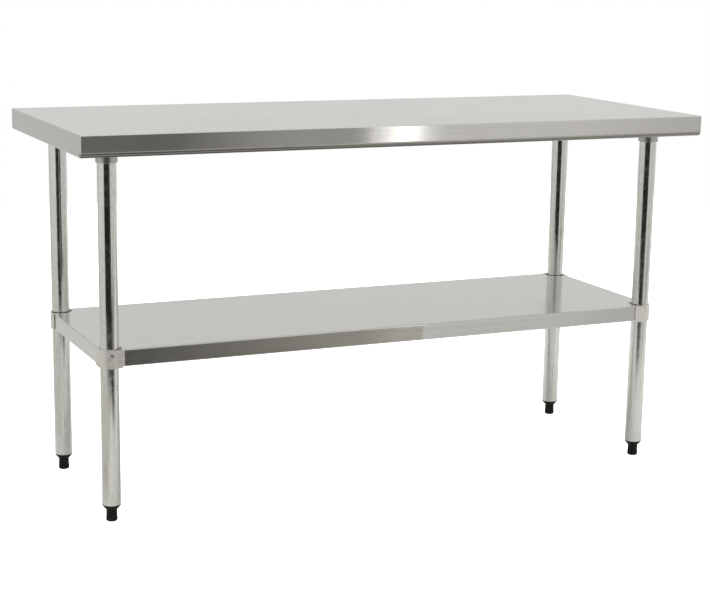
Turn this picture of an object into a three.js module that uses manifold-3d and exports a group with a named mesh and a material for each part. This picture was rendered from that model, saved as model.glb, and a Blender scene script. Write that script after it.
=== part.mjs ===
// Stainless-steel work table: a folded top on four galvanised tube legs, with an undershelf
// that slides up and down the legs and is held by set screws, and a levelling foot in each leg.
// Millimetres. +X runs along the table to the right, +Y to the back, +Z up. The origin is on
// the floor under the middle of the table.
import * as THREE from 'three';
import { mergeVertices } from 'three/addons/utils/BufferGeometryUtils.js';
import Module from 'manifold-3d';

const wasm = await Module();
wasm.setup();

// ---------------------------------------------------------------- driving dimensions
const TABLE = { length: 1524, width: 610, height: 864 };
const LEG = { diameter: 41.3, wall: 1.5, spacingX: 1360, spacingY: 410 };
const TOP = { sheet: 1.2, edge: 48, bend: 2.4, roll: 10.4, longReturn: 24, endReturn: 16 };
const SHELF = { top: 390, sheet: 1, edge: 38, bend: 2, hem: 12, beyondLeg: 22, legHole: 27 };
const FOOT = {
  exposed: 26, topRadius: 12, flareRadius: 12.7, rounding: 3.2, flareEnd: 19.5, edge: 0.8,
  stemRadius: 8, stem: 48, chamfer: 1.5,
};
const INSERT = { collar: 12, lip: 2, neck: 0.6, sleeve: 44, bore: 8.4, chamfer: 1.5 };
const BRACKET = {
  radius: 24.3, wing: 27.5, rise: 1, drop: 40.5, bevel: 6, // ring and wings
  lip: 13, step: 5, // the ring's inner side: where it starts, and how far it is below the deck
  ledge: 31, ledgeDepth: 4, rim: 3.5, // the ledge below the deck, and the rim on it
  tab: 3, tabTop: 12, tabBottom: 35, // tabs behind the shelf's edges
};
const SOCKET = { wall: 2.65, plate: 4, plateSide: 76, bottom: 795, weld: 3, edge: 1 };
const CHANNEL = {
  sheet: 1.5, height: 26, flange: 18, endCrown: 90, endLength: 560, longCrown: 60, apart: 1,
};
const SHELF_CHANNEL = { crown: 60, height: 22, flange: 15, length: 1290 };
const SET_SCREW = {
  radius: 3.9, hexRadius: 2.3, hexDepth: 1.8, aboveSocketEnd: 13, proud: 4, belowDeck: 12,
};
const FIXING_SCREW = { radius: 2, headRadius: 4, head: 2.4, bite: 1.2, belowDeck: 24, fromWingEnd: 4.3 };
const STUD = { radius: 3, length: 13, nutRadius: 5.77, nut: 5, alongEnd: 235, alongLong: 540 };

const GAP = 0.3; // between pieces that touch
const SLIDE_GAP = 0.3; // between a leg and what slides or fits over it
const PAST = 1; // how far a cutting form runs past what it cuts
const OVERLAP = 0.5; // how far joined forms run into each other
const SAME_POINT = 1e-4; // corners nearer than this are one corner
const ROUND_STEPS = { leg: 32, foot: 20, footEdge: 4, screw: 10, bend: 3 };

// ---------------------------------------------------------------- sizes worked out from them
const legRadius = LEG.diameter / 2;
const sleeveRadius = legRadius - LEG.wall - SLIDE_GAP;
const legBore = legRadius + SLIDE_GAP;
const legBottom = FOOT.exposed + GAP + INSERT.collar;
const deckUnderside = TABLE.height - TOP.sheet;
const channelTop = deckUnderside - GAP;
const plateTop = channelTop - CHANNEL.height - GAP;
const legTop = plateTop - SOCKET.plate - GAP;
const shelfUnderside = SHELF.top - SHELF.sheet;
const shelfLength = LEG.spacingX + 2 * SHELF.beyondLeg;
const shelfWidth = LEG.spacingY + 2 * SHELF.beyondLeg;
const bracketBottom = SHELF.top - BRACKET.drop;
const bracketTop = SHELF.top + BRACKET.rise;
const tabInside = SHELF.beyondLeg - SHELF.sheet - GAP - BRACKET.tab; // inner face of a tab
const ledgeTop = SHELF.top - BRACKET.step;
const setScrewHeight = {
  socket: SOCKET.bottom + SET_SCREW.aboveSocketEnd, shelf: SHELF.top - SET_SCREW.belowDeck,
};
const fixingHeight = SHELF.top - FIXING_SCREW.belowDeck;
const fixingAlong = BRACKET.wing - FIXING_SCREW.fromWingEnd; // its distance from the leg axis

// turn is how far a corner's bracket is turned round from the front left one.
const CORNERS = [
  { name: 'front_left', x: -1, y: -1, turn: 0 },
  { name: 'front_right', x: 1, y: -1, turn: Math.PI / 2 },
  { name: 'rear_left', x: -1, y: 1, turn: -Math.PI / 2 },
  { name: 'rear_right', x: 1, y: 1, turn: Math.PI },
];

// ---------------------------------------------------------------- materials
const metal = (color, roughness) => new THREE.MeshStandardMaterial({ color, roughness, metalness: 1 });
const plastic = (color, roughness) => new THREE.MeshStandardMaterial({ color, roughness, metalness: 0 });
const MATERIALS = {
  stainless: () => metal(0xc9c8c4, 0.32),
  galvanised: () => metal(0xb6b8b2, 0.42),
  castAluminium: () => metal(0xb9b4ae, 0.6),
  zincPlated: () => metal(0x8d8e8c, 0.4),
  blackNylon: () => plastic(0x17171a, 0.5),
};

// ---------------------------------------------------------------- solids
const alongX = new THREE.Matrix4().makeBasis(
  new THREE.Vector3(0, 1, 0), new THREE.Vector3(0, 0, 1), new THREE.Vector3(1, 0, 0));
const alongY = new THREE.Matrix4().makeBasis(
  new THREE.Vector3(-1, 0, 0), new THREE.Vector3(0, 0, 1), new THREE.Vector3(0, 1, 0));

// A three.js geometry as a solid that can be cut and joined.
function solidFrom(geometry) {
  geometry.deleteAttribute('normal');
  geometry.deleteAttribute('uv');
  const merged = mergeVertices(geometry, SAME_POINT);
  return new wasm.Manifold(new wasm.Mesh({
    numProp: 3,
    vertProperties: new Float32Array(merged.attributes.position.array),
    triVerts: new Uint32Array(merged.index.array),
  }));
}

function geometryFrom(solid) {
  const mesh = solid.getMesh();
  const geometry = new THREE.BufferGeometry();
  geometry.setAttribute('position', new THREE.BufferAttribute(mesh.vertProperties, 3));
  geometry.setIndex(new THREE.BufferAttribute(mesh.triVerts, 1));
  geometry.computeVertexNormals();
  return geometry;
}

// A block between two opposite corners, given in any order.
function block(x0, x1, y0, y1, z0, z1) {
  const geometry = new THREE.BoxGeometry(Math.abs(x1 - x0), Math.abs(y1 - y0), Math.abs(z1 - z0));
  return solidFrom(geometry.translate((x0 + x1) / 2, (y0 + y1) / 2, (z0 + z1) / 2));
}

// A round or many-sided rod from one height to another, standing at (x, y).
function uprightRod(radius, x, y, z0, z1, sides) {
  const geometry = new THREE.CylinderGeometry(radius, radius, z1 - z0, sides);
  return solidFrom(geometry.rotateX(Math.PI / 2).translate(x, y, (z0 + z1) / 2));
}

// A rod that lies along Y between y0 and y1.
function rodAlongY(radius, x, z, y0, y1, sides) {
  const geometry = new THREE.CylinderGeometry(radius, radius, Math.abs(y1 - y0), sides);
  return solidFrom(geometry.translate(x, (y0 + y1) / 2, z));
}

// A rod that lies along X between x0 and x1.
function rodAlongX(radius, y, z, x0, x1, sides) {
  const geometry = new THREE.CylinderGeometry(radius, radius, Math.abs(x1 - x0), sides);
  return solidFrom(geometry.rotateZ(Math.PI / 2).translate((x0 + x1) / 2, y, z));
}

// A turned piece on the Z axis. The profile is a list of [radius, height], upwards on the outside.
function turned(profile, sides) {
  const points = profile.map(([radius, height]) => new THREE.Vector2(radius, height));
  return solidFrom(new THREE.LatheGeometry(points, sides).rotateX(Math.PI / 2));
}

// Turns a solid made at the origin round the Z axis, and then moves it to (x, y).
function placed(solid, x, y, turn = 0) {
  return solidFrom(geometryFrom(solid).rotateZ(turn).translate(x, y, 0));
}

// An outline drawn in (Y, Z) and run along X, or drawn in (-X, Z) and run along Y.
function extruded(shape, length, direction) {
  const geometry = new THREE.ExtrudeGeometry(shape, { depth: length, bevelEnabled: false });
  return solidFrom(geometry.translate(0, 0, -length / 2).applyMatrix4(direction));
}

// ---------------------------------------------------------------- bent sheet
// Runs down a line of corners and rounds each one. Every corner is { x, y, radius }, with the
// radius on the middle line. offset shifts the line to its left.
function roundedLine(corners, offset) {
  const line = [];
  corners.forEach((corner, i) => {
    const here = new THREE.Vector2(corner.x, corner.y);
    const before = corners[i - 1] ?? corner;
    const after = corners[i + 1] ?? corner;
    const incoming = here.clone().sub(before).normalize();
    const outgoing = new THREE.Vector2(after.x, after.y).sub(here).normalize();
    if (before === corner || after === corner) {
      const along = before === corner ? outgoing : incoming;
      line.push(here.add(new THREE.Vector2(-along.y, along.x).multiplyScalar(offset)));
      return;
    }
    const turn = Math.atan2(incoming.cross(outgoing), incoming.dot(outgoing));
    const side = Math.sign(turn);
    const toLeft = new THREE.Vector2(-incoming.y, incoming.x);
    const centre = here.clone()
      .addScaledVector(incoming, -corner.radius * Math.tan(Math.abs(turn) / 2))
      .addScaledVector(toLeft, side * corner.radius);
    for (let step = 0; step <= ROUND_STEPS.bend; step += 1) {
      const spoke = toLeft.clone().multiplyScalar(-side)
        .rotateAround(new THREE.Vector2(), turn * step / ROUND_STEPS.bend);
      line.push(centre.clone().addScaledVector(spoke, corner.radius - side * offset));
    }
  });
  return line;
}

function bentStrip(corners, thickness) {
  const left = roundedLine(corners, thickness / 2);
  const right = roundedLine(corners, -thickness / 2);
  return new THREE.Shape([...right, ...left.reverse()]);
}

// The section of a deck whose two edges turn down and then in, along the middle of the sheet.
function turnedDownSection(width, top, edge, sheet, bend, roll, inward) {
  const side = width / 2 - sheet / 2;
  const high = top - sheet / 2;
  const low = top - edge + sheet / 2;
  return [
    { x: -side + inward, y: low },
    { x: -side, y: low, radius: roll },
    { x: -side, y: high, radius: bend },
    { x: side, y: high, radius: bend },
    { x: side, y: low, radius: roll },
    { x: side - inward, y: low },
  ];
}

// The section filled in and closed straight across below, out to the sheet's outer or inner face.
function filledSection(corners, offset) {
  return new THREE.Shape(roundedLine(corners, offset));
}

// A deck with all four edges turned down and in, its corners welded: the outer form, less the
// same form one sheet smaller, less the opening between the edges' returns below.
function turnedDownSheet(size) {
  const { length, width, top, edge, sheet, bend, longRoll, longReturn, endRoll, endReturn } = size;
  const across = turnedDownSection(width, top, edge, sheet, bend, longRoll, longReturn);
  const lengthwise = turnedDownSection(length, top, edge, sheet, bend, endRoll, endReturn);
  const form = (offset) => extruded(filledSection(across, offset), length, alongX)
    .intersect(extruded(filledSection(lengthwise, offset), width, alongY));
  const openX = length / 2 - endReturn;
  const openY = width / 2 - longReturn;
  const bottom = top - edge;
  const opening = block(-openX, openX, -openY, openY, bottom - sheet, bottom + 2 * sheet);
  return form(sheet / 2).subtract(form(-sheet / 2)).subtract(opening);
}

// A hat-section stiffener that hangs under a deck: two flanges against it and a crown below.
function hatSection(crown, height, flange, sheet, top) {
  const high = top - sheet / 2;
  const low = top - height + sheet / 2;
  const wall = crown / 2 - sheet / 2;
  return bentStrip([
    { x: -wall - flange, y: high },
    { x: -wall, y: high, radius: SHELF.bend },
    { x: -wall, y: low, radius: SHELF.bend },
    { x: wall, y: low, radius: SHELF.bend },
    { x: wall, y: high, radius: SHELF.bend },
    { x: wall + flange, y: high },
  ], sheet);
}

// ---------------------------------------------------------------- studs and nuts under the top
// Where the welded studs stand: two along each flange of each channel.
function studPlaces() {
  const endFlange = CHANNEL.endCrown / 2 + CHANNEL.flange / 2;
  const longFlange = CHANNEL.longCrown / 2 + CHANNEL.flange / 2;
  const places = [];
  for (const [end, side] of [['left', -1], ['right', 1]]) {
    for (const [edge, inward] of [['outer', 1], ['inner', -1]]) {
      for (const [row, along] of [['front', -1], ['rear', 1]]) {
        places.push({
          name: `${end}_${edge}_${row}`,
          x: side * (LEG.spacingX / 2 + inward * endFlange),
          y: along * STUD.alongEnd,
        });
      }
    }
    for (const [row, along] of [['front', -1], ['rear', 1]]) {
      places.push({ name: `middle_${end}_${row}`, x: side * STUD.alongLong, y: along * longFlange });
    }
  }
  return places;
}

function channelNut({ x, y }) {
  const top = channelTop - CHANNEL.sheet - GAP;
  const bore = uprightRod(STUD.radius + GAP, x, y, top - STUD.nut - PAST, top + PAST, ROUND_STEPS.screw);
  return uprightRod(STUD.nutRadius, x, y, top - STUD.nut, top, 6).subtract(bore);
}

function withStudHoles(channel, places) {
  const bottom = channelTop - CHANNEL.sheet - PAST;
  const hole = (x, y) => uprightRod(STUD.radius + GAP, x, y, bottom, channelTop + PAST, ROUND_STEPS.screw);
  return places.reduce((solid, { x, y }) => solid.subtract(hole(x, y)), channel);
}

// ---------------------------------------------------------------- top
function topSheet(places) {
  const sheet = turnedDownSheet({
    ...TABLE, ...TOP, top: TABLE.height, longRoll: TOP.roll, endRoll: TOP.bend,
  });
  const tip = deckUnderside - STUD.length;
  const root = deckUnderside + TOP.sheet / 2;
  const stud = (x, y) => uprightRod(STUD.radius, x, y, tip, root, ROUND_STEPS.screw);
  return places.reduce((solid, { x, y }) => solid.add(stud(x, y)), sheet);
}

function endChannel(side, places) {
  const section = hatSection(CHANNEL.endCrown, CHANNEL.height, CHANNEL.flange, CHANNEL.sheet, channelTop);
  const channel = placed(extruded(section, CHANNEL.endLength, alongY), side * LEG.spacingX / 2, 0);
  return withStudHoles(channel, places);
}

function longChannel(places) {
  const endReach = CHANNEL.endCrown / 2 + CHANNEL.flange;
  const length = LEG.spacingX - 2 * (endReach + CHANNEL.apart);
  const section = hatSection(CHANNEL.longCrown, CHANNEL.height, CHANNEL.flange, CHANNEL.sheet, channelTop);
  return withStudHoles(extruded(section, length, alongX), places);
}

// ---------------------------------------------------------------- legs and sockets
function legTube(x, y) {
  const inner = legRadius - LEG.wall;
  const tube = turned([
    [inner, legBottom + GAP], [legRadius, legBottom + GAP], [legRadius, legTop], [inner, legTop],
    [inner, legBottom + GAP],
  ], ROUND_STEPS.leg);
  return placed(tube, x, y);
}

// A square plate with a collar welded below it; the leg stands in the collar.
function legSocket(x, y, turn) {
  const outer = legBore + SOCKET.wall;
  const plateBottom = plateTop - SOCKET.plate;
  const collar = turned([
    [legBore, SOCKET.bottom], [outer - SOCKET.edge, SOCKET.bottom], [outer, SOCKET.bottom + SOCKET.edge],
    [outer, plateBottom - SOCKET.weld], [outer + SOCKET.weld, plateBottom + OVERLAP],
    [legBore, plateBottom + OVERLAP], [legBore, SOCKET.bottom],
  ], ROUND_STEPS.leg);
  const half = SOCKET.plateSide / 2;
  const plate = block(-half, half, -half, half, plateBottom, plateTop);
  return placed(collar.subtract(setScrewHole(setScrewHeight.socket, outer)).add(plate), x, y, turn);
}

// A headless set screw along -Y, from its point to its socketed face.
function setScrew(z, point, face) {
  const body = rodAlongY(SET_SCREW.radius - GAP / 2, 0, z, -point, -face, ROUND_STEPS.screw);
  const from = face - SET_SCREW.hexDepth;
  return body.subtract(rodAlongY(SET_SCREW.hexRadius, 0, z, -from, -face - PAST, 6));
}

function setScrewHole(z, outer) {
  return rodAlongY(SET_SCREW.radius + GAP / 2, 0, z, 0, -outer - PAST, ROUND_STEPS.screw);
}

// ---------------------------------------------------------------- feet
// The plug in the leg's lower end: a sleeve up inside the tube and a tapered collar below it.
function footInsert(x, y) {
  const collarBottom = FOOT.exposed + GAP;
  const plug = turned([
    [INSERT.bore, collarBottom],
    [FOOT.topRadius + INSERT.neck, collarBottom],
    [legRadius, legBottom - INSERT.lip],
    [legRadius, legBottom],
    [sleeveRadius, legBottom],
    [sleeveRadius, legBottom + INSERT.sleeve - INSERT.chamfer],
    [sleeveRadius - INSERT.chamfer, legBottom + INSERT.sleeve],
    [INSERT.bore, legBottom + INSERT.sleeve],
    [INSERT.bore, collarBottom],
  ], ROUND_STEPS.foot);
  return placed(plug, x, y);
}

// The foot: a flared body with a rounded lower edge, on a stem that screws into the insert.
function levellingFoot(x, y) {
  const { exposed, topRadius, flareRadius, rounding, flareEnd, edge, stemRadius, stem, chamfer } = FOOT;
  const profile = [[0, 0]];
  for (let step = 0; step <= ROUND_STEPS.footEdge; step += 1) {
    const angle = (step / ROUND_STEPS.footEdge - 1) * Math.PI / 2;
    profile.push([
      flareRadius - rounding + rounding * Math.cos(angle),
      rounding + rounding * Math.sin(angle),
    ]);
  }
  profile.push(
    [topRadius, flareEnd], [topRadius, exposed - edge], [topRadius - edge, exposed],
    [stemRadius, exposed], [stemRadius, exposed + stem - chamfer],
    [stemRadius - chamfer, exposed + stem], [0, exposed + stem],
  );
  return placed(turned(profile, ROUND_STEPS.foot), x, y);
}

// ---------------------------------------------------------------- undershelf
// The shelf's corner is cut away for the leg and for the bracket that wraps it.
function undershelf(fixings) {
  let shelf = turnedDownSheet({
    ...SHELF, length: shelfLength, width: shelfWidth,
    longRoll: SHELF.bend, longReturn: SHELF.hem, endRoll: SHELF.bend, endReturn: SHELF.hem,
  });
  const below = SHELF.top - SHELF.edge - PAST;
  const above = SHELF.top + PAST;
  for (const corner of CORNERS) {
    const x = corner.x * LEG.spacingX / 2;
    const y = corner.y * LEG.spacingY / 2;
    const reach = SHELF.beyondLeg + PAST;
    shelf = shelf
      .subtract(uprightRod(SHELF.legHole, x, y, below, above, ROUND_STEPS.leg))
      .subtract(block(x, x + corner.x * reach, y, y + corner.y * reach, below, above));
  }
  return fixings.reduce((solid, { hole }) => solid.subtract(hole(FIXING_SCREW.radius + GAP)), shelf);
}

function shelfChannel() {
  const { crown, height, flange, length } = SHELF_CHANNEL;
  return extruded(hatSection(crown, height, flange, SHELF.sheet, shelfUnderside - GAP), length, alongX);
}

// A cast clamp: a ring round the leg, two wings outside the shelf's edges, a tab behind each,
// and a ledge below the deck with a raised rim. The ring's inner side stays down at the ledge.
function shelfBracket(corner, x, y, fixings) {
  const toX = corner.x * -1; // towards the middle of the table
  const toY = corner.y * -1;
  const { radius, wing, tab } = BRACKET;
  const inside = tabInside + tab;
  const wingInside = SHELF.beyondLeg + GAP;
  const tabStart = radius / 2;
  const tabTop = SHELF.top - BRACKET.tabTop;
  const tabBottom = SHELF.top - BRACKET.tabBottom;
  const reach = 2 * wing;

  const ring = uprightRod(radius, x, y, bracketBottom, bracketTop, ROUND_STEPS.leg);
  const innerSide = (bottom) => solidFrom(new THREE.BoxGeometry(reach, reach, reach)
    .translate(reach / 2 - BRACKET.lip, 0, reach / 2)
    .rotateZ(Math.atan2(toY, toX))
    .translate(x, y, bottom));
  const ledgeBottom = ledgeTop - BRACKET.ledgeDepth;
  const rimTop = shelfUnderside - GAP;
  const disc = (outer, bottom, top) => uprightRod(outer, x, y, bottom, top, ROUND_STEPS.leg);
  const within = (solid, side) => solid
    .intersect(block(x - toX * side, x + toX * reach, y - toY * side, y + toY * reach, 0, rimTop))
    .intersect(innerSide(ledgeBottom - PAST));
  const ledge = within(disc(BRACKET.ledge, ledgeBottom, ledgeTop), inside);
  const rim = within(disc(BRACKET.ledge, ledgeBottom, rimTop), inside - SHELF.bend)
    .subtract(disc(BRACKET.ledge - BRACKET.rim, ledgeTop, rimTop + PAST));
  const wingX = block(x, x + toX * wing, y - toY * radius, y - toY * wingInside, bracketBottom, SHELF.top);
  const wingY = block(x - toX * radius, x - toX * wingInside, y, y + toY * wing, bracketBottom, SHELF.top);
  const tabX = block(x + toX * tabStart, x + toX * wing, y - toY * tabInside, y - toY * inside,
    tabBottom, tabTop);
  const tabY = block(x - toX * tabInside, x - toX * inside, y + toY * tabStart, y + toY * wing,
    tabBottom, tabTop);
  const bore = uprightRod(legBore, x, y, bracketBottom - PAST, bracketTop + PAST, ROUND_STEPS.leg);

  let bracket = ring.subtract(innerSide(ledgeTop));
  for (const added of [ledge, rim, wingX, wingY, tabX, tabY]) {
    bracket = bracket.add(added);
  }
  const screwHole = placed(setScrewHole(setScrewHeight.shelf, radius), x, y, corner.turn);
  for (const removed of [...wingBevels(x, y, toX, toY), bore, screwHole]) {
    bracket = bracket.subtract(removed);
  }
  return fixings.reduce((solid, { hole }) => solid.subtract(hole(FIXING_SCREW.radius + GAP / 2)), bracket);
}

// The lower corner at the end of each wing is cut off at 45 degrees.
function wingBevels(x, y, toX, toY) {
  const side = BRACKET.bevel * Math.SQRT2;
  const deep = 2 * BRACKET.tab;
  const bar = (dx, dy, axis) => {
    const geometry = axis === 'y'
      ? new THREE.BoxGeometry(side, deep, side).rotateY(Math.PI / 4)
      : new THREE.BoxGeometry(deep, side, side).rotateX(Math.PI / 4);
    return solidFrom(geometry.translate(x + dx, y + dy, bracketBottom));
  };
  return [
    bar(toX * BRACKET.wing, -toY * BRACKET.radius, 'y'),
    bar(-toX * BRACKET.radius, toY * BRACKET.wing, 'x'),
  ];
}

// Two pan-head screws hold each bracket: through the tab and the shelf's edge into the wing.
function bracketFixings(corner, x, y) {
  const toX = -corner.x;
  const toY = -corner.y;
  const tip = SHELF.beyondLeg + GAP + FIXING_SCREW.bite;
  const head = tabInside - GAP;
  const rodAcross = (radius, from, to) => rodAlongY(
    radius, x + toX * fixingAlong, fixingHeight, y - toY * from, y - toY * to, ROUND_STEPS.screw);
  const rodLengthwise = (radius, from, to) => rodAlongX(
    radius, y + toY * fixingAlong, fixingHeight, x - toX * from, x - toX * to, ROUND_STEPS.screw);
  return [['long', rodAcross], ['end', rodLengthwise]].map(([edge, rod]) => ({
    name: `bracket_screw_${corner.name}_${edge}`,
    hole: (radius) => rod(radius, tabInside - PAST, tip + GAP),
    screw: () => rod(FIXING_SCREW.radius, head - OVERLAP, tip).add(
      rod(FIXING_SCREW.headRadius, head, head - FIXING_SCREW.head)),
  }));
}

// ---------------------------------------------------------------- the table
function named(name, solid, material) {
  const mesh = new THREE.Mesh(geometryFrom(solid), material());
  mesh.name = name;
  return mesh;
}

const places = studPlaces();
const placesOf = (start) => places.filter(({ name }) => name.startsWith(start));
const frame = new THREE.Group();
const shelf = new THREE.Group();

frame.add(named('top_sheet', topSheet(places), MATERIALS.stainless));
frame.add(named('end_channel_left', endChannel(-1, placesOf('left')), MATERIALS.galvanised));
frame.add(named('end_channel_right', endChannel(1, placesOf('right')), MATERIALS.galvanised));
frame.add(named('long_channel', longChannel(placesOf('middle')), MATERIALS.galvanised));
for (const place of places) {
  frame.add(named(`channel_nut_${place.name}`, channelNut(place), MATERIALS.zincPlated));
}

const screwStart = legRadius + GAP;
const socketScrew = setScrew(setScrewHeight.socket, screwStart, legBore + SOCKET.wall + SET_SCREW.proud);
const shelfScrew = setScrew(setScrewHeight.shelf, screwStart, BRACKET.radius);
const allFixings = [];
for (const corner of CORNERS) {
  const x = corner.x * LEG.spacingX / 2;
  const y = corner.y * LEG.spacingY / 2;
  const fixings = bracketFixings(corner, x, y);
  const inward = corner.y < 0 ? Math.PI : 0; // turns the socket's set screw towards the middle
  const bracket = shelfBracket(corner, x, y, fixings);

  frame.add(named(`leg_socket_${corner.name}`, legSocket(x, y, inward), MATERIALS.galvanised));
  frame.add(named(`socket_screw_${corner.name}`, placed(socketScrew, x, y, inward), MATERIALS.zincPlated));
  frame.add(named(`leg_${corner.name}`, legTube(x, y), MATERIALS.galvanised));
  frame.add(named(`foot_insert_${corner.name}`, footInsert(x, y), MATERIALS.blackNylon));
  frame.add(named(`levelling_foot_${corner.name}`, levellingFoot(x, y), MATERIALS.blackNylon));

  shelf.add(named(`shelf_bracket_${corner.name}`, bracket, MATERIALS.castAluminium));
  const turnedScrew = placed(shelfScrew, x, y, corner.turn);
  shelf.add(named(`shelf_screw_${corner.name}`, turnedScrew, MATERIALS.zincPlated));
  for (const fixing of fixings) {
    shelf.add(named(fixing.name, fixing.screw(), MATERIALS.zincPlated));
  }
  allFixings.push(...fixings);
}
shelf.add(named('undershelf', undershelf(allFixings), MATERIALS.stainless));
shelf.add(named('shelf_channel', shelfChannel(), MATERIALS.galvanised));

const workTable = new THREE.Group();
workTable.add(frame, shelf);

export default workTable;
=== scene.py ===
"""A stainless work table: its looks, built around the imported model. Metres, +X right, +Y back, +Z up."""
import math

import bmesh
import bpy
from mathutils import Matrix, Vector


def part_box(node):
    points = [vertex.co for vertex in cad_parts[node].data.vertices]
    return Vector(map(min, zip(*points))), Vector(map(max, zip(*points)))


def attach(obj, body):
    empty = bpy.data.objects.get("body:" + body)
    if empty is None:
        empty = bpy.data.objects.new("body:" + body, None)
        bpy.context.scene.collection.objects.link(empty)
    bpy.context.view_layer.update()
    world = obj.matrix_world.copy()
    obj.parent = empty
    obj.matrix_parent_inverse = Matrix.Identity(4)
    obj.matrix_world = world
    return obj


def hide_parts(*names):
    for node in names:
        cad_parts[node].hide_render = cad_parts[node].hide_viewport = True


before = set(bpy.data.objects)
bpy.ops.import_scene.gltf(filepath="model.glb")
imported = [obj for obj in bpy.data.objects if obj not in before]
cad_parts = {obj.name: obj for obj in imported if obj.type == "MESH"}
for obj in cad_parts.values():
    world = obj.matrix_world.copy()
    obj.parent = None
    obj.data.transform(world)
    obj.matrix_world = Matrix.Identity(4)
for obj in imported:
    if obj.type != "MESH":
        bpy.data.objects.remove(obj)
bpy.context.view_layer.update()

# ------------------------------------------------------------------ driving dimensions
MM = 0.001
UP = Vector((0, 0, 1))
CORNERS = {"front_left": (-1, -1), "front_right": (1, -1), "rear_left": (-1, 1), "rear_right": (1, 1)}
CLEARANCE = 0.3 * MM

TOP_SHEET = 1.2 * MM
SHELF_SHEET = 1.0 * MM
CHANNEL_SHEET = 1.5 * MM
FOLD_RADIUS = 2.4 * MM  # outside radius of an ordinary fold
ROLL_RADIUS = 11 * MM  # the top's long lower edges
TOP_RETURNS = (16 * MM, 24 * MM)  # how far the ends' and the long edges' sheet turns in below
SHELF_RETURNS = (12 * MM, 12 * MM)
SHELF_LEG_HOLE = 27 * MM  # radius of the shelf's hole round each leg
SHELF_CORNER_CUT = 30 * MM  # from each leg's axis to past the shelf's corner
CUTTER_MARGIN = 5 * MM  # how far a cutter reaches past the sheet
CHANNEL_BEND = 2 * MM

STUD_RADIUS = 3 * MM
STUD_LENGTH = 13 * MM
STUD_PITCH = 1 * MM
STUD_THREAD = 0.55 * MM
NUT_CHAMFER = math.radians(30)

LEG_RADIUS = (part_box("leg_front_left")[1].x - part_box("leg_front_left")[0].x) / 2
LEG_WALL = 1.5 * MM
SOCKET_WALL = 2.65 * MM
SOCKET_PLATE = 4 * MM
PLATE_CORNER = 6 * MM
PLATE_EDGE = 0.5 * MM
WELD_SIZE = 3.4 * MM
WELD_RIPPLE = 0.18 * WELD_SIZE  # how far a ripple stands proud
WELD_RIPPLES = 44
CASTING_VOXEL = 0.7 * MM

INSERT_BORE = 8.4 * MM
INSERT_BASE = 12 * MM  # radius of the collar's lower end
INSERT_RIBS = 6
FOOT_TOP = 12 * MM  # radius above the flare
FOOT_WAIST = 18 * MM  # height at which the flare ends
FOOT_SHOULDER = 26 * MM  # height of the flat that the stem stands on
FOOT_ROUNDING = 3.4 * MM
FOOT_STEM = 8 * MM
FOOT_THREAD = 0.9 * MM
FOOT_PITCH = 2.5 * MM

TOP_LOW, TOP_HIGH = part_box("top_sheet")
SHELF_LOW, SHELF_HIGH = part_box("undershelf")
NUTS = sorted(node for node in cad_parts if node.startswith("channel_nut"))


def centre(node):
    low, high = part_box(node)
    return (low + high) / 2


def axis_of(node):
    """Where the axis of an upright piece crosses height 0."""
    middle = centre(node)
    return Vector((middle.x, middle.y, 0))


LEG_AXES = {corner: axis_of(f"leg_{corner}") for corner in CORNERS}


# ------------------------------------------------------------------ meshes
def piece(name, mesh, material, body, slot, *replaced, smooth=35):
    """A shown piece that rides on a body and stands for CAD nodes. Folds past smooth degrees stay sharp."""
    obj = bpy.data.objects.new(name, mesh)
    bpy.context.scene.collection.objects.link(obj)
    mesh.materials.clear()
    mesh.materials.append(material)
    mesh.shade_smooth()
    mesh.set_sharp_from_angle(angle=math.radians(smooth))
    weighted = obj.modifiers.new("flat faces stay flat", "WEIGHTED_NORMAL")
    weighted.keep_sharp = True
    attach(obj, body)
    if replaced:
        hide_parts(*replaced)
    return obj


def mesh_from(bm, name):
    bmesh.ops.recalc_face_normals(bm, faces=bm.faces)
    mesh = bpy.data.meshes.new(name)
    bm.to_mesh(mesh)
    bm.free()
    return mesh


def applied(mesh, *steps):
    """The mesh after some modifiers. Each step is (modifier type, settings)."""
    obj = bpy.data.objects.new("work", mesh)
    bpy.context.scene.collection.objects.link(obj)
    for kind, settings in steps:
        modifier = obj.modifiers.new(kind, kind)
        for key, value in settings.items():
            setattr(modifier, key, value)
    graph = bpy.context.evaluated_depsgraph_get()
    made = bpy.data.meshes.new_from_object(obj.evaluated_get(graph))
    bpy.data.objects.remove(obj)
    return made


def combined(mesh, others, operation):
    """The mesh joined with or cut by other meshes, one after another."""
    tools = []
    for other in others:
        tool = bpy.data.objects.new("tool", other)
        bpy.context.scene.collection.objects.link(tool)
        tools.append(tool)
    steps = [("BOOLEAN", {"operation": operation, "object": tool, "solver": "EXACT"}) for tool in tools]
    made = applied(mesh, *steps)
    for tool in tools:
        bpy.data.objects.remove(tool)
    return made


def cut(mesh, *others):
    return combined(mesh, others, "DIFFERENCE")


def joined(mesh, *others):
    return combined(mesh, others, "UNION")


def box_between(low, high):
    """A box between two corners, as a bmesh."""
    low, high = Vector(low), Vector(high)
    bm = bmesh.new()
    bmesh.ops.create_cube(bm, size=1)
    place = Matrix.Translation((low + high) / 2) @ Matrix.Diagonal((*(high - low), 1))
    bmesh.ops.transform(bm, verts=bm.verts, matrix=place)
    return bm


def block(low, high):
    return mesh_from(box_between(low, high), "block")


def rounded(bm, edges, radius, segments):
    bmesh.ops.bevel(bm, geom=edges, offset=radius, segments=segments, profile=0.5, affect="EDGES")


def sharp_edges(bm):
    return [edge for edge in bm.edges if edge.calc_face_angle() > math.radians(45)]


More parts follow.
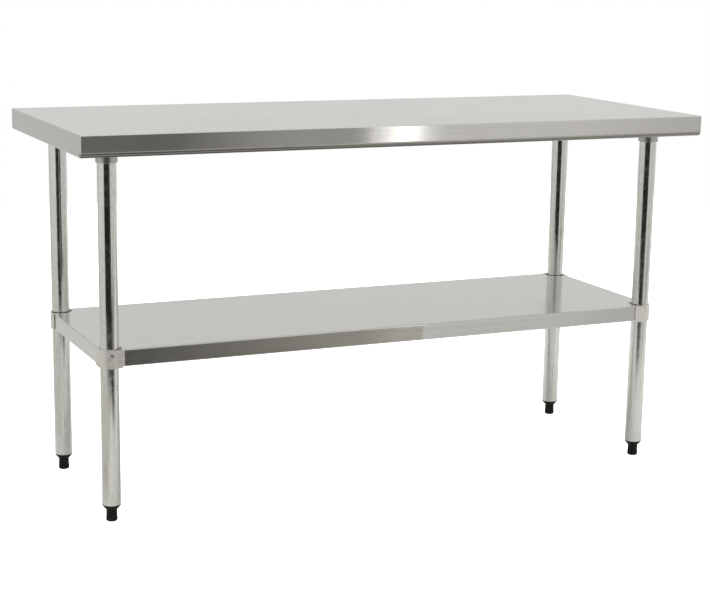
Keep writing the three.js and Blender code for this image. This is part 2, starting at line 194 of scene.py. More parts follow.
def turned(rings, steps, place, along=UP, hollow=False):
    """A piece made of rings round an axis. Each ring is (radius, height) or a function of the angle.
    A radius of 0 closes that end in a point; a hollow piece's last ring joins its first."""
    bm = bmesh.new()
    turn = UP.rotation_difference(along).to_matrix()
    loops = []
    for ring in rings:
        loop = []
        for i in range(steps):
            angle = 2 * math.pi * i / steps
            radius, height = ring(angle) if callable(ring) else ring
            point = Vector((radius * math.cos(angle), radius * math.sin(angle), height))
            loop.append(bm.verts.new(turn @ point + Vector(place)))
            if radius == 0:
                break
        loops.append(loop)
    pairs = list(zip(loops, loops[1:]))
    if hollow:
        pairs.append((loops[-1], loops[0]))
    for lower, upper in pairs:
        for i in range(steps):
            j = (i + 1) % steps
            corners = [loop[k % len(loop)] for loop, k in ((lower, i), (lower, j), (upper, j), (upper, i))]
            distinct = list(dict.fromkeys(corners))
            if len(distinct) > 2:
                bm.faces.new(distinct)
    return mesh_from(bm, "turned")


def rod(radius, start, end, steps, place, along=UP):
    """A plain cylinder, to cut a hole with."""
    return turned([(0, start), (radius, start), (radius, end), (0, end)], steps, place, along)


def arc(radius, height, bend, start, end, steps=6):
    """Rings round a bend of a profile, from one angle to another in degrees."""
    rings = []
    for i in range(steps + 1):
        angle = math.radians(start + (end - start) * i / steps)
        rings.append((radius + bend * math.cos(angle), height + bend * math.sin(angle)))
    return rings


def thread_rings(radius, depth, pitch, low, high, per_turn=8):
    """Rings of a screw thread: a ridge that climbs one pitch in each turn."""
    rings = []
    count = round((high - low) / pitch * per_turn)
    for i in range(count + 1):
        height = low + (high - low) * i / count
        fade = min(1, (high - height) / pitch, (height - low) / pitch)

        def ring(angle, height=height, fade=fade):
            phase = ((height - low) / pitch - angle / (2 * math.pi)) % 1
            return radius - depth * fade * abs(2 * phase - 1), height

        rings.append(ring)
    return rings


def hexagon(across_flats, height, slope=0.0, inside=0.0):
    """A ring with six flat sides. Outside a circle of radius inside, its height drops at a slope."""
    def ring(angle):
        sixth = math.pi / 3
        offset = (angle + sixth / 2) % sixth - sixth / 2
        radius = across_flats / 2 / math.cos(offset)
        return radius, height - slope * (radius - inside)
    return ring


def bent_outline(corners, sheet, steps=6):
    """The outline of a bent sheet. Corners are (x, y, radius) on the sheet's middle line."""
    sides = []
    for offset in (sheet / 2, -sheet / 2):
        line = []
        for i, (x, y, radius) in enumerate(corners):
            here = Vector((x, y))
            before = Vector(corners[i - 1][:2]) if i else None
            after = Vector(corners[i + 1][:2]) if i + 1 < len(corners) else None
            incoming = (here - before if before else after - here).normalized()
            outgoing = (after - here).normalized() if after else incoming
            left = Vector((-incoming.y, incoming.x))
            if not before or not after:
                line.append(here + left * offset)
                continue
            bend = math.atan2(incoming.x * outgoing.y - incoming.y * outgoing.x, incoming.dot(outgoing))
            side = math.copysign(1, bend)
            middle = here - incoming * radius * math.tan(abs(bend) / 2) + left * side * radius
            for step in range(steps + 1):
                spoke = Matrix.Rotation(bend * step / steps, 2) @ (left * -side)
                line.append(middle + spoke * (radius - side * offset))
        sides.append(line)
    return sides[1] + sides[0][::-1]


def extruded(outline, length, matrix):
    """An outline drawn in x and y, run along z to both sides of 0, then placed."""
    bm = bmesh.new()
    ends = [[bm.verts.new((x, y, end * length / 2)) for x, y in outline] for end in (-1, 1)]
    count = len(outline)
    for i in range(count):
        j = (i + 1) % count
        bm.faces.new((ends[0][i], ends[0][j], ends[1][j], ends[1][i]))
    bm.faces.new(ends[0])
    bm.faces.new(ends[1][::-1])
    bmesh.ops.transform(bm, verts=bm.verts, matrix=matrix)
    return mesh_from(bm, "extruded")


def grain_map(mesh):
    """UVs in metres with u along the sheet's grain: along x, and down over the folded ends."""
    layer = mesh.uv_layers.new(name="grain")
    for face in mesh.polygons:
        over_the_end = abs(face.normal.x) > math.sqrt(0.5)
        for loop in face.loop_indices:
            point = mesh.vertices[mesh.loops[loop].vertex_index].co
            if over_the_end:
                layer.data[loop].uv = (point.x + point.z, point.y)
            else:
                layer.data[loop].uv = (point.x, point.y + point.z)
    return mesh


# ------------------------------------------------------------------ nodes
NOISE_SPAN = (0.3, 0.7)  # where nearly all of a noise's values lie
NOISE_CORE = (0.35, 0.65)


class Nodes:
    """A short way to write a node tree."""

    def __init__(self, tree):
        self.tree = tree
        tree.nodes.clear()

    def add(self, kind, settings=None, **inputs):
        node = self.tree.nodes.new(kind)
        for key, value in (settings or {}).items():
            setattr(node, key, value)
        for key, value in inputs.items():
            self.put(node.inputs[key.replace("_", " ")], value)
        return node

    def put(self, socket, value):
        if isinstance(value, bpy.types.NodeSocket):
            self.link(value, socket)
        else:
            socket.default_value = value

    def link(self, source, target):
        self.tree.links.new(source, target)

    def coordinates(self, kind, scale):
        """Object or UV coordinates, stretched."""
        source = self.add("ShaderNodeTexCoord").outputs[kind]
        return self.add("ShaderNodeMapping", Vector=source, Scale=scale).outputs["Vector"]

    def axes(self, kind="Object"):
        """The x, y and z of some coordinates."""
        source = self.add("ShaderNodeTexCoord").outputs[kind]
        node = self.add("ShaderNodeSeparateXYZ", Vector=source)
        return [node.outputs[axis] for axis in "XYZ"]

    def noise(self, kind, scale, detail, rough):
        """Noise over stretched coordinates. The scale is about how many times it changes in a metre."""
        vector = self.coordinates(kind, scale)
        node = self.add("ShaderNodeTexNoise", Vector=vector, Scale=1.0, Detail=detail, Roughness=rough)
        return node.outputs["Fac"]

    def spread(self, value, span, to=(0, 1)):
        """Maps a range of values onto another, without going past it."""
        node = self.add("ShaderNodeMapRange", Value=value)
        for name, number in zip(("From Min", "From Max", "To Min", "To Max"), (*span, *to)):
            node.inputs[name].default_value = number
        return node.outputs["Result"]

    def math(self, operation, a, b=0.0):
        node = self.add("ShaderNodeMath", {"operation": operation})
        self.put(node.inputs[0], a)
        self.put(node.inputs[1], b)
        return node.outputs["Value"]

    def blend(self, factor, a, b):
        """A colour between a and b."""
        return self.add("ShaderNodeMix", {"data_type": "RGBA"}, Factor=factor, A=a, B=b).outputs["Result"]

    def bump(self, height, distance, strength, normal=None):
        node = self.add("ShaderNodeBump", Height=height, Distance=distance, Strength=strength)
        if normal:
            self.link(normal, node.inputs["Normal"])
        return node.outputs["Normal"]

    def ramp(self, value, stops):
        """A grey level that runs through stops. Each is (place from 0 to 1, level)."""
        node = self.add("ShaderNodeValToRGB", Fac=value)
        elements = node.color_ramp.elements
        elements.remove(elements[0])
        for i, (place, level) in enumerate(stops):
            element = elements.new(place) if i else elements[0]
            element.position = place
            element.color = (level, level, level, 1)
        return node.outputs["Color"]


class Material(Nodes):
    """A material with one principled shader. Constants go straight onto the shader's sockets."""

    def __init__(self, name, **constants):
        self.material = bpy.data.materials.new(name)
        self.material.use_nodes = True
        super().__init__(self.material.node_tree)
        self.shader = self.add("ShaderNodeBsdfPrincipled", **constants)
        self.add("ShaderNodeOutputMaterial", Surface=self.shader.outputs["BSDF"])

    def finish(self, color, roughness, normal=None):
        self.put(self.shader.inputs["Base Color"], color)
        self.put(self.shader.inputs["Roughness"], roughness)
        if normal:
            self.link(normal, self.shader.inputs["Normal"])
        return self.material


# ------------------------------------------------------------------ materials
# painted shade: the colour of the rolled lower edges, a painted dark reflection
ROLL_PAINTED_SHADE = (0.22, 0.205, 0.19, 1)
CREASE_DULLNESS = 0.45
FLAKES_PER_METRE = 210
STAIN_BROWN = (0.42, 0.32, 0.22, 1)


def brushed_stainless(name, light, dark, polished, dull, metallic, rolled_edge=False):
    """Satin sheet: straight fine grain, so it mirrors sharply along the grain and softly across it,
    with faint long streaks and cloudy handling marks. Below 1, metallic leaves a share of soft scatter. A
    rolled edge gets painted shade along its roll."""
    steel = Material(name, Metallic=metallic, Anisotropic=1.0, Anisotropic_Rotation=0.25)
    grain = steel.noise("UV", (6, 1500, 1), detail=4.0, rough=0.6)
    streaks = steel.noise("UV", (0.7, 110, 1), detail=5.0, rough=0.55)
    clouds = steel.noise("Object", (4, 4, 4), detail=5.0, rough=0.6)
    color = steel.blend(steel.spread(streaks, NOISE_SPAN), dark, light)
    rough = steel.math("ADD", steel.spread(grain, NOISE_SPAN, to=(polished, dull)),
                       steel.spread(clouds, NOISE_CORE, to=(-0.015, 0.02)))
    if rolled_edge:
        rolled, crease = roll_shares(steel)
        # painted shade: the rolled lower edges are painted darker, a painted dark reflection
        color = steel.blend(rolled, color, ROLL_PAINTED_SHADE)
        rough = steel.math("ADD", rough, steel.math("MULTIPLY", crease, CREASE_DULLNESS))
    normal = steel.bump(grain, distance=0.004 * MM, strength=0.5)
    normal = steel.bump(clouds, distance=0.2 * MM, strength=0.12, normal=normal)
    tangent = steel.add("ShaderNodeTangent", {"direction_type": "UV_MAP", "uv_map": "grain"})
    steel.link(tangent.outputs["Tangent"], steel.shader.inputs["Tangent"])
    return steel.finish(color, rough, normal)


def roll_shares(steel):
    """How far a point is down the rolled lower edges, where the colour gets painted shade (a painted dark
    reflection), and how near it is to the roll's upper crease.
    """
    _, y, z = steel.axes()
    crease = TOP_LOW.z + ROLL_RADIUS
    down = steel.spread(z, (crease - 0.3 * ROLL_RADIUS, crease - 0.14 * ROLL_RADIUS), to=(1, 0))
    below = steel.spread(z, (crease - 0.16 * ROLL_RADIUS, crease - 0.08 * ROLL_RADIUS))
    above = steel.spread(z, (crease, crease + 0.08 * ROLL_RADIUS), to=(1, 0))
    line = steel.math("MULTIPLY", below, above)
    across = steel.math("ABSOLUTE", y)
    outside = steel.spread(across, (TOP_HIGH.y - 1.5 * ROLL_RADIUS, TOP_HIGH.y - ROLL_RADIUS))
    return steel.math("MULTIPLY", down, outside), steel.math("MULTIPLY", line, outside)


def galvanised(name, light, dark, roughness, run, stains=0.0):
    """Zinc coat: crystal spangle, runs along the piece, and a faint brown bloom where asked."""
    zinc = Material(name, Metallic=1.0)
    spangle = zinc.add("ShaderNodeTexVoronoi", {"feature": "F1"}, Scale=FLAKES_PER_METRE,
                       Vector=zinc.coordinates("Object", (1, 1, 0.6)))
    flake = zinc.add("ShaderNodeSeparateColor", Color=spangle.outputs["Color"]).outputs["Red"]
    runs = zinc.noise("Object", run, detail=6.0, rough=0.6)
    clouds = zinc.noise("Object", (14, 14, 14), detail=4.0, rough=0.6)
    tone = zinc.math("ADD", zinc.math("MULTIPLY", flake, 0.35), zinc.math("MULTIPLY", runs, 0.65))
    color = zinc.blend(zinc.spread(tone, (0.3, 0.75)), dark, light)
    if stains:
        patches = zinc.noise("Object", (30, 30, 7), detail=6.0, rough=0.65)
        color = zinc.blend(zinc.spread(patches, (0.58, 0.8), to=(0, stains)), color, STAIN_BROWN)
    rough = zinc.math("ADD", zinc.spread(flake, (0, 1), to=(roughness - 0.04, roughness + 0.04)),
                      zinc.spread(clouds, NOISE_CORE, to=(-0.03, 0.05)))
    normal = zinc.bump(flake, distance=0.01 * MM, strength=0.4)
    normal = zinc.bump(runs, distance=0.08 * MM, strength=0.35, normal=normal)
    return zinc.finish(color, rough, normal)


def cast_aluminium():
    casting = Material("cast_aluminium", Metallic=1.0)
    pores = casting.noise("Object", (1500, 1500, 1500), detail=3.0, rough=0.7)
    skin = casting.noise("Object", (160, 160, 160), detail=5.0, rough=0.6)
    color = casting.blend(casting.spread(skin, NOISE_SPAN), (0.65, 0.627, 0.593, 1), (0.8, 0.772, 0.733, 1))
    normal = casting.bump(pores, distance=0.1 * MM, strength=0.5)
    normal = casting.bump(skin, distance=0.4 * MM, strength=0.4, normal=normal)
    return casting.finish(color, casting.spread(skin, NOISE_SPAN, to=(0.44, 0.56)), normal)


def zinc_fastener():
    zinc = Material("zinc_fastener", Metallic=1.0)
    film = zinc.noise("Object", (240, 240, 240), detail=4.0, rough=0.6)
    scratches = zinc.noise("Object", (2500, 2500, 300), detail=3.0, rough=0.6)
    color = zinc.blend(zinc.spread(film, NOISE_SPAN), (0.27, 0.27, 0.27, 1), (0.42, 0.42, 0.40, 1))
    normal = zinc.bump(scratches, distance=0.03 * MM, strength=0.5)
    return zinc.finish(color, zinc.spread(film, NOISE_SPAN, to=(0.28, 0.42)), normal)


def black_nylon():
    nylon = Material("black_nylon", Specular_IOR_Level=0.07)
    mould = nylon.noise("Object", (900, 900, 900), detail=3.0, rough=0.6)
    scuffs = nylon.noise("Object", (90, 90, 220), detail=6.0, rough=0.7)
    scuffed = nylon.spread(scuffs, (0.5, 0.85))
    color = nylon.blend(scuffed, (0.014, 0.0133, 0.0122, 1), (0.038, 0.036, 0.033, 1))
    normal = nylon.bump(mould, distance=0.08 * MM, strength=0.5)
    return nylon.finish(color, nylon.spread(scuffs, (0.3, 0.8), to=(0.38, 0.6)), normal)


TOP_STEEL = brushed_stainless(
    "top_stainless", light=(0.64, 0.625, 0.6, 1), dark=(0.59, 0.575, 0.55, 1),
    polished=0.05, dull=0.10, metallic=0.85, rolled_edge=True)
SHELF_STEEL = brushed_stainless(
    "shelf_stainless", light=(0.67, 0.66, 0.63, 1), dark=(0.62, 0.61, 0.58, 1),
    polished=0.06, dull=0.13, metallic=0.93)
LEG_ZINC = galvanised(
    "leg_galvanised", light=(0.72, 0.72, 0.69, 1), dark=(0.62, 0.62, 0.59, 1),
    roughness=0.15, run=(60, 60, 5), stains=0.5)
SHEET_ZINC = galvanised(
    "sheet_galvanised", light=(0.54, 0.54, 0.525, 1), dark=(0.42, 0.42, 0.41, 1),
    roughness=0.34, run=(9, 30, 30))
BRACKET_METAL = cast_aluminium()
FASTENER_ZINC = zinc_fastener()
FOOT_NYLON = black_nylon()


# ------------------------------------------------------------------ folded sheets
def underside(bm):
    return [face for face in bm.faces if face.normal.z < -0.999]


def folded_sheet(low, high, sheet, roll, returns):
    """A deck with four edges turned down and then in. roll is the long lower edges' radius."""
    middle, reach = (low + high) / 2, (high - low) / 2
    bm = box_between(low, high)
    if roll > FOLD_RADIUS:
        long_lower = [edge for edge in bm.edges
                      if abs(edge.verts[0].co.x - edge.verts[1].co.x) > reach.x
                      and edge.verts[0].co.z < middle.z]
        rounded(bm, long_lower, roll, segments=12)
    rounded(bm, sharp_edges(bm), FOLD_RADIUS, segments=5)
    for axis, inset in enumerate(returns):
        for place in (low[axis] + inset, high[axis] - inset):
            point, normal = Vector(), Vector()
            point[axis], normal[axis] = place, 1
            faces = underside(bm)
            parts = dict.fromkeys(part for face in faces for part in (face, *face.edges, *face.verts))
            bmesh.ops.bisect_plane(bm, geom=list(parts), plane_co=point, plane_no=normal)
    opening = [face for face in underside(bm)
               if all(abs(face.calc_center_median()[axis] - middle[axis]) < reach[axis] - inset
                      for axis, inset in enumerate(returns))]
    bmesh.ops.delete(bm, geom=opening, context="FACES")
    mesh = mesh_from(bm, "sheet")
    return applied(mesh, ("SOLIDIFY", {"thickness": sheet, "offset": -1, "use_even_offset": True}))


def top():
    mesh = folded_sheet(TOP_LOW, TOP_HIGH, TOP_SHEET, ROLL_RADIUS, TOP_RETURNS)
    piece("table_top", grain_map(mesh), TOP_STEEL, "frame", "stainless", "top_sheet")


def undershelf():
    """The shelf, holed round the legs and cut away at its corners."""
    mesh = folded_sheet(SHELF_LOW, SHELF_HIGH, SHELF_SHEET, FOLD_RADIUS, SHELF_RETURNS)
    below, above = SHELF_LOW.z - CUTTER_MARGIN, SHELF_HIGH.z + CUTTER_MARGIN
    cutters = []
    for corner, sides in CORNERS.items():
        axis = LEG_AXES[corner]
        outside = [axis[i] + side * SHELF_CORNER_CUT for i, side in enumerate(sides)]
        low = [min(axis[i], outside[i]) for i in range(2)]
        high = [max(axis[i], outside[i]) for i in range(2)]
        cutters.append(rod(SHELF_LEG_HOLE, below, above, 64, axis))
        cutters.append(block((*low, below), (*high, above)))
    mesh = cut(mesh, *cutters)
    piece("shelf_sheet", grain_map(mesh), SHELF_STEEL, "shelf", "stainless", "undershelf")


# ------------------------------------------------------------------ channels
def hat_channel(name, node, body, crown, flange, sheet, lengthwise=True):
    """A hat section: two flanges up against the sheet, two walls and a crown below."""
    low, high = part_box(node)
    middle = (low + high) / 2
    upper, lower = high.z - sheet / 2, low.z + sheet / 2
    wall = crown / 2 - sheet / 2
    outline = bent_outline([
        (-wall - flange, upper, 0), (-wall, upper, CHANNEL_BEND), (-wall, lower, CHANNEL_BEND),
        (wall, lower, CHANNEL_BEND), (wall, upper, CHANNEL_BEND), (wall + flange, upper, 0),
    ], sheet)
    if lengthwise:
        length = high.x - low.x
        place = Matrix(((0, 0, 1, middle.x), (1, 0, 0, middle.y), (0, 1, 0, 0), (0, 0, 0, 1)))
    else:
        length = high.y - low.y
        place = Matrix(((-1, 0, 0, middle.x), (0, 0, 1, middle.y), (0, 1, 0, 0), (0, 0, 0, 1)))
    mesh = extruded(outline, length, place)
    studs = [axis for axis in map(axis_of, NUTS)
             if body == "frame" and low.x < axis.x < high.x and low.y < axis.y < high.y]
    if studs:
        hole_start, hole_end = high.z - 4 * MM, high.z + 1 * MM
        mesh = cut(mesh, *[rod(STUD_RADIUS + CLEARANCE, hole_start, hole_end, 24, axis) for axis in studs])
    piece(name, mesh, SHEET_ZINC, body, "galvanised", node)


def channels():
    for side in ("left", "right"):
        hat_channel(f"top_end_channel_{side}", f"end_channel_{side}", "frame",
                    crown=90 * MM, flange=18 * MM, sheet=CHANNEL_SHEET, lengthwise=False)
    hat_channel("top_long_channel", "long_channel", "frame",
                crown=60 * MM, flange=18 * MM, sheet=CHANNEL_SHEET)
    hat_channel("shelf_stiffener", "shelf_channel", "shelf",
                crown=60 * MM, flange=15 * MM, sheet=SHELF_SHEET)


def nut(node):
    """A hexagon nut with both faces chamfered."""
    low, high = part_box(node)
    flats = high.x - low.x
    bore = STUD_RADIUS + CLEARANCE
    edge = 0.4 * MM
    slope = math.tan(NUT_CHAMFER)
    face = 0.95 * flats / 2
    rings = [(bore + edge, low.z), (face, low.z), hexagon(flats, low.z, -slope, face)]
    rings += [hexagon(flats, high.z, slope, face), (face, high.z), (bore + edge, high.z)]
    rings += [(bore, high.z - edge), (bore, low.z + edge)]
    mesh = turned(rings, 48, axis_of(node), hollow=True)
    piece(node.replace("channel_nut", "nut"), mesh, FASTENER_ZINC, "frame", "zinc_fastener", node)


def stud(node):
    """The threaded stud that a nut sits on, with the weld that holds it under the deck."""
    deck = TOP_HIGH.z - TOP_SHEET
    end = deck - STUD_LENGTH
    weld_low, weld_high = deck - 0.6 * MM, deck - 0.02 * MM
    rings = [(0, end), (STUD_RADIUS - 0.8 * MM, end)]
    rings += thread_rings(STUD_RADIUS, STUD_THREAD, STUD_PITCH, end + 0.4 * MM, deck - 1.5 * MM)
    rings += [(STUD_RADIUS + 1 * MM, weld_low), (STUD_RADIUS + 1.4 * MM, weld_high), (0, weld_high)]
    mesh = turned(rings, 24, axis_of(node))
    piece(node.replace("channel_nut", "stud"), mesh, FASTENER_ZINC, "frame", "zinc_fastener")


def studs_and_nuts():
    for node in NUTS:
        nut(node)
        stud(node)


# ------------------------------------------------------------------ legs and sockets
def legs():
    inner = LEG_RADIUS - LEG_WALL
    edge = 0.4 * MM
    for corner, axis in LEG_AXES.items():
        low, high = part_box(f"leg_{corner}")
        rings = [(inner, low.z + edge), (inner + edge, low.z)]
        rings += arc(LEG_RADIUS - edge, low.z + edge, edge, -90, 0, 3)
        rings += arc(LEG_RADIUS - edge, high.z - edge, edge, 0, 90, 3)
        rings += [(inner + edge, high.z), (inner, high.z - edge)]
        tube = turned(rings, 128, axis, hollow=True)
        piece(f"tube_{corner}", tube, LEG_ZINC, "frame", "galvanised_tube", f"leg_{corner}")


def weld_bead(radius, height):
    """Rings of a fillet weld round a tube, with the ripples that a welder leaves."""
    def ring(out, down):
        def at(angle):
            wave = WELD_RIPPLE * abs(math.sin(WELD_RIPPLES * angle / 2))
            return (radius + out * WELD_SIZE + wave * (out > 0),
                    height - down * WELD_SIZE - wave * (down > 0))
        return at
    root = WELD_SIZE / 4  # how far the bead reaches into the tube and the plate
    return [(radius - root, height + root), ring(1.0, 0), ring(0.75, 0.42), ring(0.42, 0.75),
            ring(0, 1.0), (radius - root, height - WELD_SIZE)]


def rounded_plate(low, high):
    bm = box_between(low, high)
    upright = [edge for edge in bm.edges if abs(edge.verts[0].co.z - edge.verts[1].co.z) > 1 * MM]
    rounded(bm, upright, PLATE_CORNER, segments=6)
    rounded(bm, sharp_edges(bm), PLATE_EDGE, segments=2)
    return mesh_from(bm, "plate")


def sockets():
    """Each socket is a collar with a hole for its set screw, welded under a plate."""
    bore = LEG_RADIUS + CLEARANCE
    outer = bore + SOCKET_WALL
    edge = 0.8 * MM
    for corner, axis in LEG_AXES.items():
        low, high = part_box(f"leg_socket_{corner}")
        plate_bottom = high.z - SOCKET_PLATE
        collar_top = plate_bottom + 1 * MM
        plate = rounded_plate((low.x, low.y, plate_bottom), high)
        rings = [(bore, low.z + edge), (bore + edge, low.z)]
        rings += arc(outer - edge, low.z + edge, edge, -90, 0, 4)
        rings += [(outer, collar_top), (bore, collar_top)]
        collar = turned(rings, 96, axis, hollow=True)
        bead = turned(weld_bead(outer, plate_bottom), 4 * WELD_RIPPLES, axis, hollow=True)
        screw = f"socket_screw_{corner}"
        screw_low, screw_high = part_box(screw)
        hole_radius = (screw_high.z - screw_low.z) / 2 + 0.2 * MM
        hole_place = (axis.x, axis.y, centre(screw).z)
        hole = rod(hole_radius, 0, 2 * outer, 32, hole_place, along=faces_from_leg(corner, screw))
        mesh = joined(cut(collar, hole), plate, bead)
        piece(f"socket_{corner}", mesh, SHEET_ZINC, "frame", "galvanised", f"leg_socket_{corner}")


def faces_from_leg(corner, node):
    """The straight direction, along x or y, in which a screw's socketed face looks."""
    away = centre(node) - LEG_AXES[corner]
    if abs(away.x) > abs(away.y):
        return Vector((math.copysign(1, away.x), 0, 0))
    return Vector((0, math.copysign(1, away.y), 0))


def set_screw(name, node, corner, body):
    """A headless screw: cup point, thread, chamfered face with a hexagon socket."""
    outward = faces_from_leg(corner, node)
    low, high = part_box(node)
    length = abs((high - low).dot(outward))
    start = (low + high) / 2 - outward * length / 2
    radius = (high.z - low.z) / 2 + 0.05 * MM
    flats = 4 * MM
    socket_floor = length - min(2 * MM, 0.6 * length)
    lead = 0.3 * MM
    rings = [(0, 0.5 * MM), (0.45 * radius, 0), (0.8 * radius, 0)]
    rings += thread_rings(radius, depth=0.4 * MM, pitch=1.25 * MM, low=lead, high=length - lead)
    rings += [(0.85 * radius, length), (0.6 * flats, length), hexagon(flats, length - 0.15 * MM)]
    rings += [hexagon(flats, socket_floor), (0, socket_floor - 0.6 * MM)]
    mesh = turned(rings, 48, start, along=outward)
    piece(name, mesh, FASTENER_ZINC, body, "zinc_fastener", node)


# ------------------------------------------------------------------ brackets
def brackets():
    """The clamps are castings: the CAD form with its edges softened."""
    for corner, (side_x, side_y) in CORNERS.items():
        node = f"shelf_bracket_{corner}"
        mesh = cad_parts[node].data.copy()
        mesh = applied(mesh, ("REMESH", {"mode": "VOXEL", "voxel_size": CASTING_VOXEL}),
                       ("SMOOTH", {"factor": 0.5, "iterations": 3}))
        piece(f"bracket_{corner}", mesh, BRACKET_METAL, "shelf", "cast_bracket", node, smooth=50)
        set_screw(f"bracket_set_screw_{corner}", f"shelf_screw_{corner}", corner, "shelf")
        set_screw(f"socket_set_screw_{corner}", f"socket_screw_{corner}", corner, "frame")
        for edge, direction in (("long", Vector((0, side_y, 0))), ("end", Vector((side_x, 0, 0)))):
            pan_head_screw(f"bracket_screw_{corner}_{edge}", direction)


def pan_head_screw(node, direction):
    """A pan-head screw with a cross recess; direction points from the head to the tip."""
    low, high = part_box(node)
    length = abs((high - low).dot(direction))
    start = (low + high) / 2 - direction * length / 2
    head_height, head_radius = 2.4 * MM, 4 * MM
    shank, tip = 2 * MM, 1.2 * MM
    rings = [(0, 0)]
    for degrees in range(15, 91, 15):
        angle = math.radians(degrees)
        rings.append((head_radius * math.sin(angle), head_height * (1 - math.cos(angle))))
    rings += [(head_radius - 0.2 * MM, head_height), (shank, head_height)]
    rings += thread_rings(shank, depth=0.35 * MM, pitch=0.7 * MM,
                          low=head_height + 0.2 * MM, high=length - 0.5 * MM)
    rings += [(tip, length), (0, length)]
    mesh = turned(rings, 40, start, along=direction)
    across = UP.cross(direction)
    arm_reach, arm_half_width, arm_depth = 1.9 * MM, 0.45 * MM, 1.3 * MM
    arms = []
    for wide, thin in ((UP, across), (across, UP)):
        reach = wide * arm_reach + thin * arm_half_width + direction * arm_depth
        reach = Vector(map(abs, reach))
        arms.append(block(start - reach, start + reach))
    piece(f"cross_{node}", cut(mesh, *arms), FASTENER_ZINC, "shelf", "zinc_fastener", node)


# ------------------------------------------------------------------ feet
def feet():
    for corner in CORNERS:
        foot_insert(corner)
        levelling_foot(corner)


def foot_insert(corner):
    """The plug in the tube's end: tapered collar with a lip, and a ribbed sleeve inside the tube."""
    low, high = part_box(f"foot_insert_{corner}")
    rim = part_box(f"leg_{corner}")[0].z - CLEARANCE
    sleeve = LEG_RADIUS - LEG_WALL - CLEARANCE
    edge, lip_edge = 0.6 * MM, 0.3 * MM

    def ribbed(height):
        groove = 0.8 * MM
        return lambda angle: (sleeve - groove * (1 - max(0, math.cos(INSERT_RIBS * angle)) ** 6), height)

    rings = [(INSERT_BORE, low.z + edge), (INSERT_BORE + edge, low.z)]
    rings += arc(INSERT_BASE, low.z + edge, edge, -90, -40, 3)
    rings += arc(LEG_RADIUS - edge, rim - 1.8 * MM, edge, -35, 0, 3)
    rings += arc(LEG_RADIUS - lip_edge, rim - lip_edge, lip_edge, 0, 90, 3)
    rings += [(sleeve, rim), ribbed(rim + 2 * MM), ribbed(high.z - 4 * MM)]
    rings += [(sleeve - 2 * MM, high.z), (INSERT_BORE + edge, high.z), (INSERT_BORE, high.z - edge)]
    mesh = turned(rings, 96, LEG_AXES[corner], hollow=True)
    piece(f"insert_{corner}", mesh, FOOT_NYLON, "frame", "black_nylon", f"foot_insert_{corner}")


def levelling_foot(corner):
    """A flared foot with a rounded lower edge and a threaded stem."""
    low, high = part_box(f"levelling_foot_{corner}")
    flare = (high.x - low.x) / 2
    edge = 0.6 * MM
    rings = [(0, low.z), (flare - FOOT_ROUNDING, low.z)]
    rings += arc(flare - FOOT_ROUNDING, low.z + FOOT_ROUNDING, FOOT_ROUNDING, -90, 0, 8)[1:]
    for share in (0.2, 0.4, 0.6, 0.8, 1.0):
        ease = share * share * (3 - 2 * share)
        radius = flare + (FOOT_TOP - flare) * ease
        rings.append((radius, FOOT_ROUNDING + (FOOT_WAIST - FOOT_ROUNDING) * share))
    rings += arc(FOOT_TOP - edge, FOOT_SHOULDER - edge, edge, 0, 90, 4)
    rings += [(FOOT_STEM - FOOT_THREAD, FOOT_SHOULDER)]
    rings += thread_rings(FOOT_STEM, FOOT_THREAD, FOOT_PITCH, FOOT_SHOULDER + 0.5 * MM, high.z - 1.5 * MM)
    rings += [(FOOT_STEM - 1.6 * MM, high.z), (0, high.z)]
    mesh = turned(rings, 64, LEG_AXES[corner])
    piece(f"foot_{corner}", mesh, FOOT_NYLON, f"foot_{corner}", "black_nylon", f"levelling_foot_{corner}")


# ------------------------------------------------------------------ studio
CAMERA = {  # angles in radians, sensor and lens in millimetres
    "target": (-0.1106, -0.2325, 0.45), "azimuth": -0.4267, "elevation": 0.2092,
    "roll": 0.0157, "distance": 3.85, "sensor": 36, "lens": 85.741, "clip_end": 50,
}

FLOOR = -25.2 * MM  # clear of the feet when they are screwed all the way out
# The floor's paper: where it lies, and where its front edge and its painted shade fade.
PAPER = {
    "x": (-3.5, 3.5), "y": (-2.5, 4.5), "front_edge": (-1.6, -1.25), "shaded": (-1.1, -0.85),
    "notch": 0.4, "notch_left": (-0.7, -0.3), "notch_right": (0.1, 0.6),
}
PAPER_LIGHT = (0.9, 0.9, 0.885, 1)
PAPER_DARK = (0.86, 0.86, 0.845, 1)
# painted shade: the colour the paper is painted on its left side
PAPER_PAINTED_SHADE = (0.66, 0.66, 0.64, 1)
# The room's floor in front of the paper: dark, paler to the right, and dark again far away.
BARE_FLOOR = {"paler": (-0.3, 0.8), "far": (-2.7, -1.9)}
BARE_DARK = (0.015, 0.014, 0.013, 1)
BARE_PALE = (0.42, 0.395, 0.36, 1)
BARE_FAR = (0.02, 0.02, 0.02, 1)

# The backdrops are dimmer near the floor and far to the right: where that fades, and to what share.
BACKDROP_FOOT = (0.15, 0.6)
FOOT_SHARE = 0.85
BACKDROP_FAR = (1.05, 1.4)
FAR_SHARE = 0.8

# How bright the room's walls are, at degrees round from the front of the table.
WALLS = [
    (-180, 0.73), (-165, 0.61), (-145, 0.61), (-130, 0.8), (-80, 0.8), (-72, 0.02), (6, 0.02),
    (14, 0.12), (17.2, 0.115), (18, 0.095), (19.7, 0.22), (21.4, 0.36), (23.1, 0.425), (24.4, 0.37),
    (28.2, 0.59), (46, 0.74), (90, 0.78), (140, 0.73), (180, 0.73),
]
# The tall strip light, in two layers: where each starts and ends in degrees, and its brightness.
STRIP_LIGHT = [((24.8, 24.88), (26.5, 28.0), 0.7), ((25.25, 26.1), (26.4, 26.65), 1.5)]
